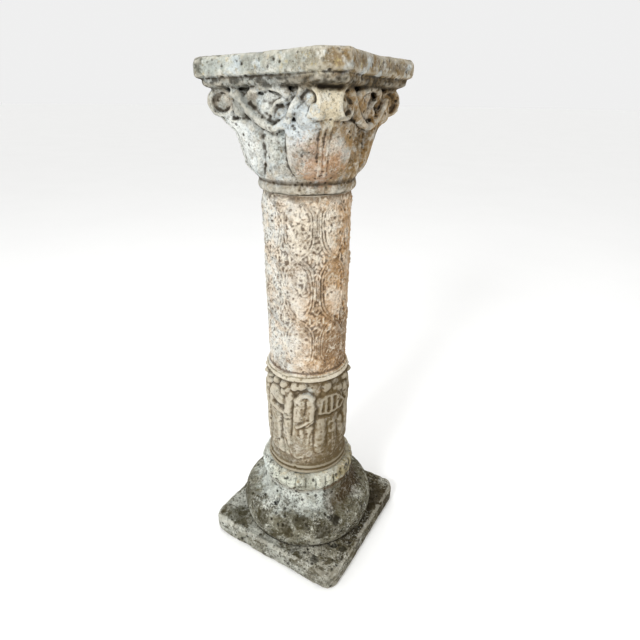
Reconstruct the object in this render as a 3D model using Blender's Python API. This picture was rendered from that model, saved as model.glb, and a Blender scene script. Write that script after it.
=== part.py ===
"""Column pedestal in weathered cast stone, in metres, +Z up, standing on z = 0.

Three castings stand on one another: a base with a square plinth, a shaft with a
figure drum below and vine scrolls above, and a capital under a square abacus.
"""

import math

import bmesh
import bpy
from mathutils import Matrix, Vector

# Heights of the base, from the ground up
PLINTH_HEIGHT = 0.045
TORUS_HEIGHT = 0.068
SCOTIA_HEIGHT = 0.050
RIBBED_HEIGHT = 0.0395

# Heights of the shaft
RING_PAIR_HEIGHT = 0.0245
DRUM_HEIGHT = 0.2147
COLLAR_HEIGHT = 0.016
FLARE_HEIGHT = 0.014
SCROLL_HEIGHT = 0.3228

# Heights of the capital
ASTRAGAL_HEIGHT = 0.0185
BELL_HEIGHT = 0.1374
MOULDING_HEIGHT = 0.020
ABACUS_HEIGHT = 0.029

# Air between two castings that stand on one another
JOINT_GAP = 0.0003

# Plan of the base
PLINTH_SIDE = 0.326
PLINTH_CORNER_RADIUS = 0.028
PLINTH_ARRIS = 0.006
TORUS_RADIUS = 0.150
TORUS_TUCK = 0.010
SCOTIA_RADIUS = 0.096
SCOTIA_SPREAD = 0.018
RIBBED_RADIUS = 0.104
RIB_COUNT = 32
RIB_DEPTH = 0.0036

# Plan of the shaft
DRUM_RADIUS = 0.0840
RING_PROUD = 0.0042
COLLAR_RADIUS = 0.0845
SHAFT_RADIUS = 0.0780
FIGURE_COUNT = 8
FIGURE_WIDTH = 0.046
FIGURE_PROUD = 0.0070
FIGURE_LEAN = 0.006
HEAD_RADIUS = 0.0095
MEDALLION_COLUMNS = 8
MEDALLION_STEP = 0.120
MEDALLION_WIDTH = 0.054
MEDALLION_HEIGHT = 0.074
BAND_WIDTH = 0.0085
VINE_PROUD = 0.0024

# Plan of the capital
NECK_RADIUS = 0.0845
ASTRAGAL_RADIUS = 0.0875
BELL_LIP_RADIUS = 0.102
CORNER_LEAF_PROUD = 0.0155
CORNER_LEAF_CURL = 0.013
CORNER_LEAF_SHARE = 0.73
FACE_LEAF_PROUD = 0.0085
FACE_LEAF_SHARE = 0.47
HELIX_WIDTH = 0.112
HELIX_DROP = 0.044
HELIX_THICKNESS = 0.009
VOLUTE_RADIUS = 0.0275
VOLUTE_SPREAD = 0.0765
VOLUTE_REACH = 0.121
VOLUTE_SINK = 0.004
BOSS_WIDTH = 0.066
BOSS_HEIGHT = 0.034
BOSS_PROUD = 0.017
ABACUS_SIDE = 0.284
ABACUS_CORNER_CUT = 0.029
ABACUS_HOLLOW = 0.010
ABACUS_ARRIS = 0.006
MOULDING_SET_BACK = 0.007
MOULDING_UNDERCUT = 0.020

# How finely the round forms are divided
BASE_COLUMNS = 2 * RIB_COUNT
SHAFT_COLUMNS = 48
BELL_COLUMNS = 56

# Levels that follow from the heights
TORUS_BOTTOM = PLINTH_HEIGHT
SCOTIA_BOTTOM = TORUS_BOTTOM + TORUS_HEIGHT
RIBBED_BOTTOM = SCOTIA_BOTTOM + SCOTIA_HEIGHT
BASE_TOP = RIBBED_BOTTOM + RIBBED_HEIGHT
SHAFT_BOTTOM = BASE_TOP + JOINT_GAP
DRUM_BOTTOM = SHAFT_BOTTOM + RING_PAIR_HEIGHT
COLLAR_BOTTOM = DRUM_BOTTOM + DRUM_HEIGHT
FLARE_BOTTOM = COLLAR_BOTTOM + COLLAR_HEIGHT
SCROLL_BOTTOM = FLARE_BOTTOM + FLARE_HEIGHT
SHAFT_TOP = SCROLL_BOTTOM + SCROLL_HEIGHT
CAPITAL_BOTTOM = SHAFT_TOP + JOINT_GAP
BELL_BOTTOM = CAPITAL_BOTTOM + ASTRAGAL_HEIGHT
BELL_TOP = BELL_BOTTOM + BELL_HEIGHT
SLAB_BOTTOM = BELL_TOP + MOULDING_HEIGHT
PEDESTAL_TOP = SLAB_BOTTOM + ABACUS_HEIGHT

JOINT_RADIUS = DRUM_RADIUS + RING_PROUD / 2


def remove_objects():
    for item in list(bpy.data.objects):
        bpy.data.objects.remove(item, do_unlink=True)


def stone(name, colour, roughness):
    material = bpy.data.materials.new(name)
    material.use_nodes = True
    shader = material.node_tree.nodes["Principled BSDF"]
    shader.inputs["Base Color"].default_value = (*colour, 1.0)
    shader.inputs["Roughness"].default_value = roughness
    shader.inputs["Metallic"].default_value = 0.0
    return material


def ease(value):
    """Smooth step from 0 to 1 for values from 0 to 1."""
    value = min(max(value, 0.0), 1.0)
    return value * value * (3.0 - 2.0 * value)


def hill(distance, width):
    """Rounded bump, 1 in the middle and 0 from one width away."""
    share = abs(distance) / width
    return 0.0 if share >= 1.0 else 0.5 + 0.5 * math.cos(math.pi * share)


def angles(count):
    return [2.0 * math.pi * i / count for i in range(count)]


def new_object(name, bm, material):
    bmesh.ops.recalc_face_normals(bm, faces=bm.faces)
    mesh = bpy.data.meshes.new(name)
    bm.to_mesh(mesh)
    bm.free()
    mesh.materials.append(material)
    mesh.shade_smooth()
    mesh.set_sharp_from_angle(angle=math.radians(40.0))
    item = bpy.data.objects.new(name, mesh)
    bpy.context.scene.collection.objects.link(item)
    return item


def skin(name, rings, material):
    """Closed body through rings of equally many points, from the lowest ring up."""
    bm = bmesh.new()
    loops = [[bm.verts.new(point) for point in ring] for ring in rings]
    count = len(loops[0])
    for lower, upper in zip(loops, loops[1:]):
        for i in range(count):
            j = (i + 1) % count
            bm.faces.new((lower[i], lower[j], upper[j], upper[i]))
    bm.faces.new(list(reversed(loops[0])))
    bm.faces.new(loops[-1])
    return new_object(name, bm, material)


def ring_at(height, radius, count):
    """Ring of points whose radius is a number or a function of the angle."""
    points = []
    for turn in angles(count):
        reach = radius(turn) if callable(radius) else radius
        points.append(Vector((reach * math.cos(turn), reach * math.sin(turn), height)))
    return points


def rounded_square(half, corner, turn):
    """Distance from the centre to a square with rounded corners along an angle."""
    along = abs(math.cos(turn))
    across = abs(math.sin(turn))
    if along < across:
        along, across = across, along
    reach = half / along
    core = half - corner
    if reach * across <= core:
        return reach
    middle = core * (along + across)
    return middle + math.sqrt(middle * middle - 2.0 * core * core + corner * corner)


def make_base(material):
    """Square plinth, plain torus, scotia and a torus cut into upright ribs."""
    half = PLINTH_SIDE / 2
    rings = []
    for height, inset in (
        (0.0, PLINTH_ARRIS * 0.6),
        (PLINTH_ARRIS * 0.6, 0.0),
        (PLINTH_HEIGHT - PLINTH_ARRIS, 0.0),
        (PLINTH_HEIGHT, PLINTH_ARRIS),
    ):

        def outline(turn, inset=inset):
            return rounded_square(half - inset, PLINTH_CORNER_RADIUS - inset, turn)

        rings.append(ring_at(height, outline, BASE_COLUMNS))

    tube = TORUS_HEIGHT / 2
    for degrees in (-60, -10, 35, 78):
        lean = math.radians(degrees)
        bulge = TORUS_RADIUS - TORUS_TUCK * (1.0 - math.cos(lean))
        if degrees > 0:
            bulge = TORUS_RADIUS - 0.8 * tube * (1.0 - math.cos(lean))
        rings.append(ring_at(TORUS_BOTTOM + tube + tube * math.sin(lean), bulge, BASE_COLUMNS))

    for share in (0.03, 0.35, 1.0):
        sweep = (1.0 - share) ** 1.6
        level = SCOTIA_BOTTOM + SCOTIA_HEIGHT * share
        rings.append(ring_at(level, SCOTIA_RADIUS + SCOTIA_SPREAD * sweep, BASE_COLUMNS))

    for share in (0.12, 0.38, 0.66, 0.90):
        swell = math.sin(math.pi * (0.15 + 0.72 * share))
        inner = RIBBED_RADIUS - 0.014
        reach = inner + (RIBBED_RADIUS - inner) * swell

        def ribbed(turn, reach=reach, swell=swell):
            return reach - RIB_DEPTH * swell * (0.5 - 0.5 * math.cos(RIB_COUNT * turn))

        rings.append(ring_at(RIBBED_BOTTOM + RIBBED_HEIGHT * share, ribbed, BASE_COLUMNS))
    rings.append(ring_at(BASE_TOP, JOINT_RADIUS, BASE_COLUMNS))
    return skin("base", rings, material)


def unite(body, others, own_crossings=False):
    """Join overlapping bodies into one closed body."""
    for other in others:
        step = body.modifiers.new(other.name, "BOOLEAN")
        step.operation = "UNION"
        step.solver = "EXACT"
        step.use_self = own_crossings
        step.object = other
        other.hide_render = True
        other.display_type = "WIRE"


def polar(radius, turn, height):
    return Vector((radius * math.cos(turn), radius * math.sin(turn), height))


def scroll_cell(bm, edge, middle_turn, middle_height):
    """Oval band round a domed middle inside a patch of the shaft bounded by a loop of points."""
    count = len(edge)
    half_width = MEDALLION_WIDTH / 2
    half_height = MEDALLION_HEIGHT / 2
    outline = (
        (half_width, half_height, 0.0),
        (half_width - BAND_WIDTH / 2, half_height - BAND_WIDTH / 2, VINE_PROUD),
        (half_width - BAND_WIDTH, half_height - BAND_WIDTH, 0.0),
    )
    outer = edge
    for reach_across, reach_up, proud in outline:
        inner = []
        for k in range(count):
            turn = 2.0 * math.pi * (k + 0.5) / count
            across = reach_across * math.cos(turn) / SHAFT_RADIUS
            height = middle_height + reach_up * math.sin(turn)
            inner.append(bm.verts.new(polar(SHAFT_RADIUS + proud, middle_turn + across, height)))
        for k in range(count):
            j = (k + 1) % count
            bm.faces.new((outer[k], outer[j], inner[j], inner[k]))
        outer = inner
    top = bm.verts.new(polar(SHAFT_RADIUS + VINE_PROUD, middle_turn, middle_height))
    for k in range(count):
        bm.faces.new((outer[k], outer[(k + 1) % count], top))


def scroll_rows(bm, lowest):
    """Three rows of medallions round the shaft, from a loop of points to the loop at its top."""
    middle = (SCROLL_BOTTOM + SHAFT_TOP) / 2 - 0.009
    levels = (SCROLL_BOTTOM, middle - MEDALLION_STEP / 2, middle + MEDALLION_STEP / 2, SHAFT_TOP)
    columns = len(lowest)
    per_cell = columns // MEDALLION_COLUMNS
    lower = lowest
    for row in range(3):
        bottom, top = levels[row], levels[row + 1]
        between = []
        for step in range(1, per_cell):
            height = bottom + (top - bottom) * step / per_cell
            level = {}
            for c in range(0, columns, per_cell):
                level[c] = bm.verts.new(polar(SHAFT_RADIUS, 2.0 * math.pi * c / columns, height))
            between.append(level)
        upper = [bm.verts.new(polar(SHAFT_RADIUS, 2.0 * math.pi * c / columns, top)) for c in range(columns)]
        for cell in range(MEDALLION_COLUMNS):
            first = cell * per_cell
            last = (first + per_cell) % columns
            right = [level[last] for level in between]
            left = [level[first] for level in reversed(between)]
            above = [upper[(first + k) % columns] for k in range(per_cell, -1, -1)]
            below = [lower[(first + k) % columns] for k in range(per_cell + 1)]
            loop = below + right + above + left
            start = len(below) + len(right) // 2
            edge = loop[start:] + loop[:start]
            turn = 2.0 * math.pi * (cell + 0.5) / MEDALLION_COLUMNS
            scroll_cell(bm, edge, turn, middle + (row - 1) * MEDALLION_STEP)
        lower = upper
    return lower


def make_figure(bm, index):
    """Robed figure in half relief on the drum: hem, hips, waist, shoulders and a round head."""
    turn = 2.0 * math.pi * (index + 0.5) / FIGURE_COUNT
    way = 1.0 if index % 2 else -1.0
    sections = (
        (0.04, 1.00, 0.70),
        (0.32, 0.92, 0.95),
        (0.55, 0.62, 0.80),
        (0.78, 0.86, 1.00),
        (0.84, 0.40, 0.70),
    )
    sides = 6
    loops = []
    for share, width, depth in sections:
        loop = []
        shift = way * FIGURE_LEAN * (0.5 - share)
        for k in range(sides):
            lean = 2.0 * math.pi * (k + 0.5) / sides
            across = shift + FIGURE_WIDTH / 2 * width * math.cos(lean)
            reach = DRUM_RADIUS - 0.001 + (FIGURE_PROUD * depth + 0.001) * math.sin(lean) * 1.08
            loop.append(bm.verts.new(polar(reach, turn - across / DRUM_RADIUS, DRUM_BOTTOM + DRUM_HEIGHT * share)))
        loops.append(loop)
    for lower, upper in zip(loops, loops[1:]):
        for k in range(sides):
            j = (k + 1) % sides
            bm.faces.new((lower[k], lower[j], upper[j], upper[k]))
    bm.faces.new(list(reversed(loops[0])))
    bm.faces.new(loops[-1])
    place = Matrix.Translation(
        polar(DRUM_RADIUS + FIGURE_PROUD - HEAD_RADIUS * 0.65, turn + way * 0.02, DRUM_BOTTOM + DRUM_HEIGHT * 0.91)
    )
    bmesh.ops.create_uvsphere(bm, u_segments=6, v_segments=5, radius=HEAD_RADIUS, matrix=place)


def make_shaft(material):
    """Ring pair, figure drum, collar, flare and the scroll-cut shaft in one casting."""
    bm = bmesh.new()
    profile = [(SHAFT_BOTTOM, JOINT_RADIUS)]
    for share, proud in ((0.20, 1.0), (0.38, 0.85), (0.47, 0.1), (0.66, 0.80), (1.0, 0.0)):
        profile.append((SHAFT_BOTTOM + RING_PAIR_HEIGHT * share, DRUM_RADIUS + RING_PROUD * proud))
    profile.append((COLLAR_BOTTOM, DRUM_RADIUS - 0.001))
    profile.append((COLLAR_BOTTOM + COLLAR_HEIGHT * 0.20, COLLAR_RADIUS))
    profile.append((COLLAR_BOTTOM + COLLAR_HEIGHT * 0.85, COLLAR_RADIUS))
    profile.append((FLARE_BOTTOM + FLARE_HEIGHT * 0.15, SHAFT_RADIUS + (COLLAR_RADIUS - SHAFT_RADIUS) * 0.40))
    loops = []
    for height, reach in profile:
        loops.append([bm.verts.new(polar(reach, turn, height)) for turn in angles(SHAFT_COLUMNS)])
    for lower, upper in zip(loops, loops[1:]):
        for k in range(SHAFT_COLUMNS):
            j = (k + 1) % SHAFT_COLUMNS
            bm.faces.new((lower[k], lower[j], upper[j], upper[k]))
    fine = loops[-1]
    half = SHAFT_COLUMNS // 2
    coarse = [bm.verts.new(polar(SHAFT_RADIUS, turn, SCROLL_BOTTOM)) for turn in angles(half)]
    for k in range(half):
        near = fine[2 * k], fine[2 * k + 1], fine[(2 * k + 2) % SHAFT_COLUMNS]
        bm.faces.new((near[0], near[1], coarse[k]))
        bm.faces.new((near[1], coarse[(k + 1) % half], coarse[k]))
        bm.faces.new((near[1], near[2], coarse[(k + 1) % half]))
    top = scroll_rows(bm, coarse)
    bm.faces.new(list(reversed(loops[0])))
    bm.faces.new(top)
    shaft = new_object("shaft", bm, material)

    figures = bmesh.new()
    for index in range(FIGURE_COUNT):
        make_figure(figures, index)
    unite(shaft, [new_object("figures", figures, material)], own_crossings=True)
    return shaft


def helix_level(across):
    """Height of the helix rim at a sideways distance from the middle of a face."""
    share = min(abs(across) / (HELIX_WIDTH / 2), 1.0)
    return BELL_TOP - HELIX_THICKNESS - HELIX_DROP * (1.0 - share**1.5)


def bell_radius(turn, share):
    """Radius of the bell and its leaves at an angle and a share of the bell's height."""
    quarter = math.pi / 2
    from_face = abs((turn / quarter + 0.5) % 1.0 - 0.5) * 90.0
    from_corner = 45.0 - from_face
    core = NECK_RADIUS + (BELL_LIP_RADIUS - NECK_RADIUS) * share**0.55

    foot = ease(share / 0.22)
    spread = min(max((share - 0.2) / 0.45, 0.0), 1.2) ** 1.3
    curl = ease((share - 0.58) / (CORNER_LEAF_SHARE - 0.58)) * hill(from_corner, 17.0)
    arch = 1.0 - 0.5 * (from_corner / 30.0) ** 2
    edge = 1.0 - 0.75 * ease((from_corner - 27.0) / 6.0)
    leaf = CORNER_LEAF_PROUD * (foot + 0.75 * spread) * max(arch, 0.0) * edge
    if share > CORNER_LEAF_SHARE:
        leaf *= 0.6
    else:
        leaf += CORNER_LEAF_CURL * curl

    height = BELL_BOTTOM + BELL_HEIGHT * share
    across = BELL_LIP_RADIUS * math.sin(math.radians(from_face))
    leaf *= 1.0 - ease((height - helix_level(across)) / 0.012)

    if share < FACE_LEAF_SHARE:
        width = 13.5 - 5.0 * (share / FACE_LEAF_SHARE) ** 3
        leaf = max(leaf, FACE_LEAF_PROUD * ease(share / 0.12) * hill(from_face, width) ** 0.7)
    return core + leaf


def abacus_ring(half, height):
    """Square with hollow sides and cut corners, as points at even steps along each side."""
    points = []
    steps = 6
    flat = half - ABACUS_CORNER_CUT
    for k in range(4):
        turn = k * math.pi / 2
        for i in range(steps + 1):
            share = 2.0 * i / steps - 1.0
            depth = half - ABACUS_HOLLOW * (1.0 - share * share)
            x, y = depth, share * flat
            points.append(
                Vector(
                    (
                        x * math.cos(turn) - y * math.sin(turn),
                        x * math.sin(turn) + y * math.cos(turn),
                        height,
                    )
                )
            )
    return points


def make_abacus(material):
    half = ABACUS_SIDE / 2
    under = half - MOULDING_SET_BACK
    profile = (
        (BELL_TOP - 0.004, under - MOULDING_UNDERCUT),
        (BELL_TOP + MOULDING_HEIGHT * 0.35, under - MOULDING_UNDERCUT * 0.35),
        (BELL_TOP + MOULDING_HEIGHT * 0.75, under),
        (SLAB_BOTTOM, under),
        (SLAB_BOTTOM, half - ABACUS_ARRIS * 0.15),
        (PEDESTAL_TOP - ABACUS_ARRIS, half),
        (PEDESTAL_TOP - ABACUS_ARRIS * 0.3, half - ABACUS_ARRIS * 0.3),
        (PEDESTAL_TOP, half - ABACUS_ARRIS),
    )
    return skin("capital", [abacus_ring(size, height) for height, size in profile], material)


def make_bell(material):
    """Astragal and leafy bell, from the joint with the shaft up into the abacus."""
    rings = [ring_at(CAPITAL_BOTTOM, NECK_RADIUS - 0.003, BELL_COLUMNS)]
    for share in (0.18, 0.50, 0.84):
        bulge = math.sqrt(1.0 - (2.0 * share - 1.0) ** 2)
        reach = NECK_RADIUS - 0.002 + (ASTRAGAL_RADIUS - NECK_RADIUS + 0.002) * bulge
        rings.append(ring_at(CAPITAL_BOTTOM + ASTRAGAL_HEIGHT * share, reach, BELL_COLUMNS))
    for share in (0.0, 0.09, 0.22, 0.44, 0.62, CORNER_LEAF_SHARE, CORNER_LEAF_SHARE + 0.01, 1.0):

        def leafy(turn, share=share):
            return bell_radius(turn, share)

        rings.append(ring_at(BELL_BOTTOM + BELL_HEIGHT * share, leafy, BELL_COLUMNS))
    rings.append(ring_at(SLAB_BOTTOM + ABACUS_HEIGHT / 2, BELL_LIP_RADIUS, BELL_COLUMNS))
    return skin("bell", rings, material)


def make_volute_roll(corner, material):
    """Roll that turns from one face's volute to the next face's round the corner."""
    centre = VOLUTE_REACH
    bend = VOLUTE_REACH - VOLUTE_SPREAD
    level = BELL_TOP - 0.5 * VOLUTE_RADIUS
    sides = 10
    rings = []
    disc = ((0.30, 0.0), (0.46, VOLUTE_SINK), (0.80, VOLUTE_SINK), (0.98, 0.0))
    steps = [(0.0, scale, sink) for scale, sink in disc]
    steps += [(0.28, 1.0, 0.0), (0.5, 0.86, 0.0), (0.72, 1.0, 0.0)]
    steps += [(1.0, scale, sink) for scale, sink in reversed(disc)]
    for along, scale, sink in steps:
        lean = along * math.pi / 2
        sunk = sink if along < 0.5 else -sink
        middle = Vector((centre - bend * math.cos(lean), -centre + bend * math.sin(lean), level))
        forward = Vector((math.sin(lean), math.cos(lean), 0.0))
        outward = Vector((math.cos(lean), -math.sin(lean), 0.0))
        middle += forward * sunk
        ring = []
        for i in range(sides):
            turn = 2.0 * math.pi * i / sides
            reach = VOLUTE_RADIUS * scale
            ring.append(middle + outward * reach * math.cos(turn) + Vector((0.0, 0.0, reach * math.sin(turn))))
        rings.append(ring)
    item = skin("volute", rings, material)
    item.rotation_euler = (0.0, 0.0, corner * math.pi / 2)
    return item


def make_helix(side, material):
    """Rolled rim that hangs in a bow from one volute to the other across a face."""
    steps = 10
    sides = 5
    rings = []
    path = []
    for i in range(steps + 1):
        share = 2.0 * i / steps - 1.0
        x = HELIX_WIDTH / 2 * share
        z = helix_level(x)
        y = -(BELL_LIP_RADIUS - 0.001 + 0.011 * share * share)
        path.append(Vector((x, y, z)))
    for i, point in enumerate(path):
        before = path[max(i - 1, 0)]
        after = path[min(i + 1, steps)]
        forward = (after - before).normalized()
        out = Vector((0.0, -1.0, 0.0))
        out = (out - forward * out.dot(forward)).normalized()
        up = forward.cross(out)
        ring = []
        for k in range(sides):
            turn = 2.0 * math.pi * k / sides
            ring.append(point + (out * math.cos(turn) + up * math.sin(turn)) * HELIX_THICKNESS / 2)
        rings.append(ring)
    item = skin("helix", rings, material)
    item.rotation_euler = (0.0, 0.0, side * math.pi / 2)
    return item


def make_boss(side, material):
    """Worn flower at the middle of a face, just under the abacus."""
    bm = bmesh.new()
    bmesh.ops.create_uvsphere(bm, u_segments=8, v_segments=6, radius=0.5)
    for vert in bm.verts:
        vert.co.x *= BOSS_WIDTH
        vert.co.y *= 2.0 * BOSS_PROUD + 0.010
        vert.co.z *= BOSS_HEIGHT
        vert.co.y -= BELL_LIP_RADIUS - 0.006
        vert.co.z += BELL_TOP - 0.28 * BOSS_HEIGHT
    item = new_object("boss", bm, material)
    item.rotation_euler = (0.0, 0.0, side * math.pi / 2)
    return item


def make_capital(material):
    """Astragal, leafy bell, corner volutes, helices and abacus in one casting."""
    capital = make_abacus(material)
    pieces = [make_bell(material)]
    for k in range(4):
        pieces.append(make_volute_roll(k, material))
    for k in range(4):
        pieces.append(make_helix(k, material))
        pieces.append(make_boss(k, material))
    unite(capital, pieces)
    return capital


remove_objects()
make_base(stone("base_stone", (0.36, 0.34, 0.30), 0.92))
make_shaft(stone("shaft_stone", (0.52, 0.45, 0.37), 0.92))
make_capital(stone("capital_stone", (0.50, 0.47, 0.42), 0.92))
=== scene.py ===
"""Weathered cast-stone column pedestal: base, shaft and capital, each one casting."""

import math

import bpy
import numpy as np
from mathutils import Matrix, Vector


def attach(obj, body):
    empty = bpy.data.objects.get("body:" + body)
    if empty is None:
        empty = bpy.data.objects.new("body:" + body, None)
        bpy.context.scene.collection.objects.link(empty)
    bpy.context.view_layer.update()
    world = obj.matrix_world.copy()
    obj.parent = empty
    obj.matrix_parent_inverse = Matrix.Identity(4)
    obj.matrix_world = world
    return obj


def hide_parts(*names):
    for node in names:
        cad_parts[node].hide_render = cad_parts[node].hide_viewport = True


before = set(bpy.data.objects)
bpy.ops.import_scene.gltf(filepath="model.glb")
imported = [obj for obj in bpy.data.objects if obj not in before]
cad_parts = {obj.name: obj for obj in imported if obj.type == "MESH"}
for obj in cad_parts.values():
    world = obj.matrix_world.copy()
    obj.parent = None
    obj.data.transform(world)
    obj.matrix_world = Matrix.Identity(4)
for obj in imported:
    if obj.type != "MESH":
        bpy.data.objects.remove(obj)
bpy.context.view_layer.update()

# THE BASE
# One casting of cement and stone dust: a square plinth with worn corners, a plain torus,
# a hollow scotia and a torus cut into ribs. It lies flat on the ground and carries the shaft.

BASE_COLUMNS = 500
PLINTH_HALF = 0.163
PLINTH_CORNER = 0.028
PLINTH_ARRIS = 0.006
PLINTH_TOP = 0.045
TORUS_FOOT_REACH = 0.145
TORUS_REACH = 0.150
TORUS_TALL = 0.068
SCOTIA_FOOT = 0.1135
SCOTIA_TOP = 0.163
SCOTIA_REACH = 0.096
SCOTIA_FLARE = 0.022
BASE_TOP = 0.2025
RIBBED_REACH = 0.090
RIBBED_SWELL = 0.015
RIBS = 30
RIB_CUT = 0.0062
JOINT_REACH = 0.0861
PIT_TURN = math.radians(-96.3)
PIT_REACH = 0.112
PIT_LEVEL = 0.1214
PIT_DEEP = 0.009
PIT_FLAT = 0.0036
PIT_SLOPE = 0.003


def hashed(cell, seed):
    """Fixed random value from 0 to 1 for each whole-numbered cell of space."""
    mix = cell[:, 0] * 73856093 ^ cell[:, 1] * 19349663 ^ cell[:, 2] * 83492791 ^ seed * 1640531
    mix = ((mix ^ (mix >> 15)) * 2246822519) & 0xFFFFFFFF
    mix = ((mix ^ (mix >> 13)) * 3266489917) & 0xFFFFFFFF
    return ((mix ^ (mix >> 16)) & 0xFFFFFF) / 0xFFFFFF


def grain(points, size, seed):
    """Smooth value from -1 to 1 that wanders over one size of stone."""
    cell = np.floor(points / size)
    part = points / size - cell
    part = part * part * (3.0 - 2.0 * part)
    cell = cell.astype(np.int64)
    total = np.zeros(len(points))
    for corner in range(8):
        step = np.array([corner & 1, corner >> 1 & 1, corner >> 2])
        weight = np.prod(np.where(step == 1, part, 1.0 - part), axis=1)
        total += weight * hashed(cell + step, seed)
    return 2.0 * total - 1.0


def layered(points, size, seed, layers=3):
    """Grain of one size with finer and weaker grains on top of it."""
    total = np.zeros(len(points))
    for layer in range(layers):
        total += grain(points, size / 2.1**layer, seed + layer) / 1.7**layer
    return total / 1.6


def pitting(points, spacing, seed, share):
    """Depth from 0 to 1 of round pits that lie about one spacing apart."""
    cell = np.floor(points / spacing).astype(np.int64)
    depth = np.zeros(len(points))
    for number in range(27):
        where = cell + (number % 3 - 1, number // 3 % 3 - 1, number // 9 - 1)
        middle = np.stack([hashed(where, seed + k) for k in range(3)], axis=1)
        reach = spacing * (0.15 + 0.30 * hashed(where, seed + 3))
        gap = np.linalg.norm(points - (where + middle) * spacing, axis=1)
        bowl = np.where(hashed(where, seed + 4) < share, 1.0 - gap / reach, 0.0)
        depth = np.maximum(depth, bowl)
    return depth


def ease(value):
    """Smooth step from 0 to 1 for values from 0 to 1."""
    value = np.clip(value, 0.0, 1.0)
    return value * value * (3.0 - 2.0 * value)


def hill(distance, width):
    """Rounded bump, 1 in the middle and 0 from one width away."""
    share = np.clip(np.abs(distance) / width, 0.0, 1.0)
    return 0.5 + 0.5 * np.cos(np.pi * share)


def turns(count):
    return np.arange(count) * (2.0 * np.pi / count)


def polar(reach, turn, height):
    """Points of one or more rings, from radius, angle and height."""
    reach, turn, height = np.broadcast_arrays(reach, turn, height)
    return np.stack([reach * np.cos(turn), reach * np.sin(turn), height], axis=-1)


def shells(name, parts):
    """Mesh of closed skins, each a stack of equally long rings from its underside up."""
    points, faces, first = [], [], 0
    for rows in parts:
        levels, columns = rows.shape[:2]
        index = first + np.arange(levels * columns).reshape(levels, columns)
        beside = np.roll(index, -1, axis=1)
        quads = np.stack([index[:-1], beside[:-1], beside[1:], index[1:]], axis=-1)
        faces += quads.reshape(-1, 4).tolist()
        faces += [index[0][::-1].tolist(), index[-1].tolist()]
        points.append(rows.reshape(-1, 3))
        first += levels * columns
    mesh = bpy.data.meshes.new(name)
    mesh.from_pydata(np.concatenate(points).tolist(), [], faces)
    mesh.validate()
    return mesh


def skin(mesh):
    """Points, outward directions and edges of a mesh, a row for each."""
    found = []
    for items, key, width, kind in (
        (mesh.vertices, "co", 3, float),
        (mesh.vertex_normals, "vector", 3, float),
        (mesh.edges, "vertices", 2, np.int64),
    ):
        values = np.empty(len(items) * width, dtype=kind)
        items.foreach_get(key, values)
        found.append(values.reshape(-1, width))
    return found


def write_points(mesh, points):
    mesh.vertices.foreach_set("co", points.ravel())
    mesh.update()


def relax(values, edges, rounds):
    """Values averaged over their neighbours again and again."""
    count = len(values)
    ends = np.concatenate([edges[:, 0], edges[:, 1]])
    others = np.concatenate([edges[:, 1], edges[:, 0]])
    beside = np.bincount(ends, minlength=count)[:, None]
    for _ in range(rounds):
        around = [np.bincount(ends, weights=column[others], minlength=count) for column in values.T]
        values = 0.4 * values + 0.6 * np.stack(around, axis=1) / beside
    return values


def weather(mesh, seed, chips, rough, pits):
    """Round and chip the arrises, roughen the faces and open small holes, all in metres."""
    points, outward, edges = skin(mesh)
    blunt = relax(points, edges, 6)
    sharp = np.clip(np.sum((points - blunt) * outward, axis=1) / 0.0012, 0.0, 1.0)
    worn = np.clip(1.5 * layered(points, 0.016, seed) + 0.1, 0.0, 1.0)
    move = -chips * sharp * (0.25 + worn)
    for size, share in ((0.050, 0.9), (0.021, 0.7), (0.010, 0.55), (0.0052, 0.5)):
        move += rough * share * grain(points, size, seed + int(size * 1e5))
    move -= pits * ease(1.4 * pitting(points, 0.013, seed + 7, 0.30))
    move -= 0.7 * pits * ease(1.6 * pitting(points, 0.0075, seed + 8, 0.28))
    write_points(mesh, points + outward * move[:, None])


def mark_hollows(mesh, fine, broad):
    """Store how hollow each point lies, from -1 on a crest to 1 in a cut of the given depths."""
    points, outward, edges = skin(mesh)
    total = np.zeros(len(points))
    for rounds, depth in ((3, fine), (14, broad)):
        blunt = relax(points, edges, rounds)
        total += np.clip(np.sum((blunt - points) * outward, axis=1) / depth, -1.0, 1.0) / 2.0
    total = relax(total[:, None], edges, 1)[:, 0]
    mesh.attributes.new("hollow", "FLOAT", "POINT").data.foreach_set("value", total.astype(np.float32))


def place_piece(name, mesh, material, node):
    """Put a finished stone in the scene in place of its plain solid."""
    mesh.materials.clear()
    mesh.materials.append(material)
    mesh.shade_smooth()
    item = bpy.data.objects.new(name, mesh)
    bpy.context.scene.collection.objects.link(item)
    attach(item, "root")
    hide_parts(node)


class Tone:
    """A value inside a finish; sums and products of tones add the nodes that work them out."""

    def __init__(self, finish, socket):
        self.finish = finish
        self.socket = socket

    def math(self, operation, first, second):
        made = self.finish.node("ShaderNodeMath", {"operation": operation}, {0: first, 1: second})
        return Tone(self.finish, made.outputs[0])

    def __add__(self, other):
        return self.math("ADD", self, other)

    def __sub__(self, other):
        return self.math("SUBTRACT", self, other)

    def __rsub__(self, other):
        return self.math("SUBTRACT", other, self)

    def __mul__(self, other):
        return self.math("MULTIPLY", self, other)

    __radd__ = __add__
    __rmul__ = __mul__


def paint(red, green, blue):
    """Scene colour of a paint that is given as 0 to 255 on a screen."""
    shares = [value / 255 for value in (red, green, blue)]
    return (*[v / 12.92 if v <= 0.04 else ((v + 0.055) / 1.055) ** 2.4 for v in shares], 1.0)


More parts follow.
